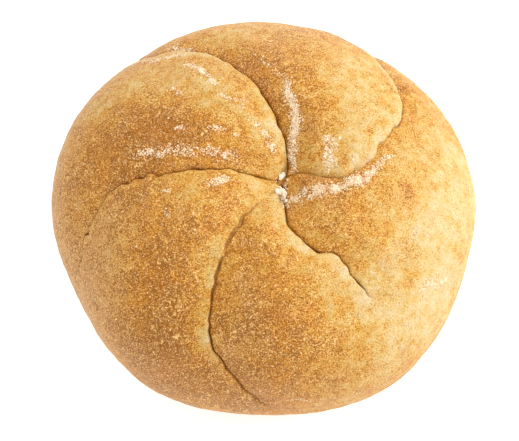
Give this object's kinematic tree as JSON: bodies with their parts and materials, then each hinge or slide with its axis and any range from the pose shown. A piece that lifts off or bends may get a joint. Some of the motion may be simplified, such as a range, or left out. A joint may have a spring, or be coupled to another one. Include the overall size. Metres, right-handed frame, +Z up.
{
  "type": "bread roll",
  "caption": "Round hand-folded bread roll: a domed lobed crust with spiral creases curling out from a pressed navel, on a flat base.",
  "frame": {"origin": "centre of the roll's footprint, on the flat base it was baked on", "axes": "+Z up through the crown; seen from above, with +X to the right, the creases curl outward anticlockwise; -Y is the side nearest the viewer"},
  "size_m": [0.1036, 0.102, 0.0494],
  "materials": {
    "crust": "dull golden-brown baked crust, speckled with bran, paler along the lips of the folds",
    "flour": "dry off-white flour"
  },
  "bodies": {
    "root": {"bread_roll": "crust"}
  },
  "joints": []
}
